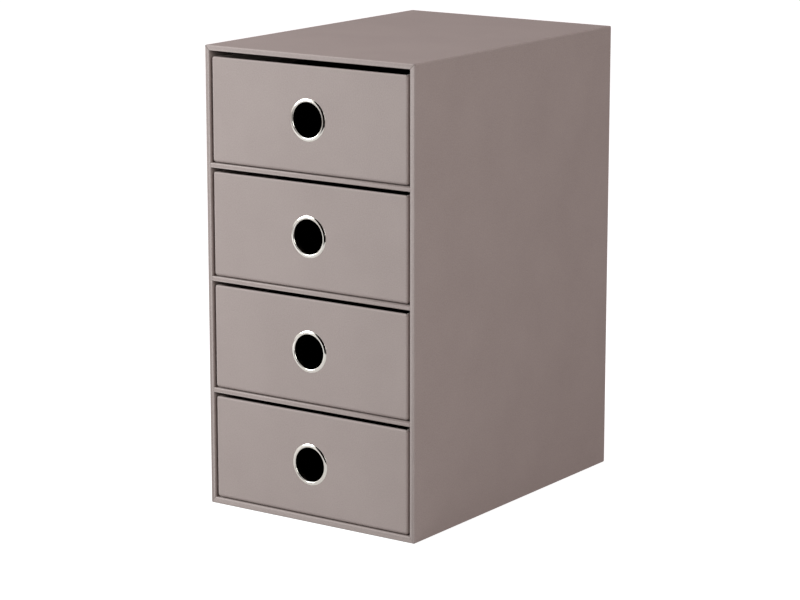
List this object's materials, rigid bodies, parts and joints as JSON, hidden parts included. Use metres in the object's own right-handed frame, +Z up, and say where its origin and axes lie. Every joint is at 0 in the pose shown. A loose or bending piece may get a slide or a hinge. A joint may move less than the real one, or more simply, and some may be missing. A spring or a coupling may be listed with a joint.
{
  "type": "desktop drawer chest",
  "caption": "Free-standing desktop chest of equal shallow drawers in paper-covered greyboard, each pulled by a domed metal finger ring.",
  "frame": {"origin": "centre of the footprint, finger rings included, on the surface the chest stands on", "axes": "+Z up, the drawers open towards -Y, +X to the right seen from the front"},
  "size_m": [0.15, 0.2154, 0.28],
  "materials": {
    "cover_paper": "matte",
    "lining_paper": "matte",
    "greyboard": "matte",
    "ring_metal": "polished"
  },
  "bodies": {
    "case": {"case_top_board": "greyboard", "case_bottom_board": "greyboard", "case_left_board": "greyboard", "case_right_board": "greyboard", "case_back_board": "greyboard", "case_cover_paper": "cover_paper", "case_base_paper": "cover_paper", "case_back_paper": "cover_paper", "case_lining_paper": "lining_paper", "shelf_1_board": "greyboard", "shelf_1_paper": "cover_paper", "shelf_2_board": "greyboard", "shelf_2_paper": "cover_paper", "shelf_3_board": "greyboard", "shelf_3_paper": "cover_paper"},
    "drawer_1": {"drawer_1_front_board": "greyboard", "drawer_1_back_board": "greyboard", "drawer_1_left_board": "greyboard", "drawer_1_right_board": "greyboard", "drawer_1_floor_board": "greyboard", "drawer_1_cover_paper": "cover_paper", "drawer_1_lining_paper": "lining_paper", "drawer_1_ring": "ring_metal", "drawer_1_ring_washer": "ring_metal"},
    "drawer_2": {"drawer_2_front_board": "greyboard", "drawer_2_back_board": "greyboard", "drawer_2_left_board": "greyboard", "drawer_2_right_board": "greyboard", "drawer_2_floor_board": "greyboard", "drawer_2_cover_paper": "cover_paper", "drawer_2_lining_paper": "lining_paper", "drawer_2_ring": "ring_metal", "drawer_2_ring_washer": "ring_metal"},
    "drawer_3": {"drawer_3_front_board": "greyboard", "drawer_3_back_board": "greyboard", "drawer_3_left_board": "greyboard", "drawer_3_right_board": "greyboard", "drawer_3_floor_board": "greyboard", "drawer_3_cover_paper": "cover_paper", "drawer_3_lining_paper": "lining_paper", "drawer_3_ring": "ring_metal", "drawer_3_ring_washer": "ring_metal"},
    "drawer_4": {"drawer_4_front_board": "greyboard", "drawer_4_back_board": "greyboard", "drawer_4_left_board": "greyboard", "drawer_4_right_board": "greyboard", "drawer_4_floor_board": "greyboard", "drawer_4_cover_paper": "cover_paper", "drawer_4_lining_paper": "lining_paper", "drawer_4_ring": "ring_metal", "drawer_4_ring_washer": "ring_metal"}
  },
  "joints": [
    {"name": "drawer_1_slide", "type": "slide", "parent": "case", "child": "drawer_1", "axis": [0, -1, 0], "range_m": [0, 0.21]},
    {"name": "drawer_2_slide", "type": "slide", "parent": "case", "child": "drawer_2", "axis": [0, -1, 0], "range_m": [0, 0.21]},
    {"name": "drawer_3_slide", "type": "slide", "parent": "case", "child": "drawer_3", "axis": [0, -1, 0], "range_m": [0, 0.21]},
    {"name": "drawer_4_slide", "type": "slide", "parent": "case", "child": "drawer_4", "axis": [0, -1, 0], "range_m": [0, 0.21]}
  ]
}
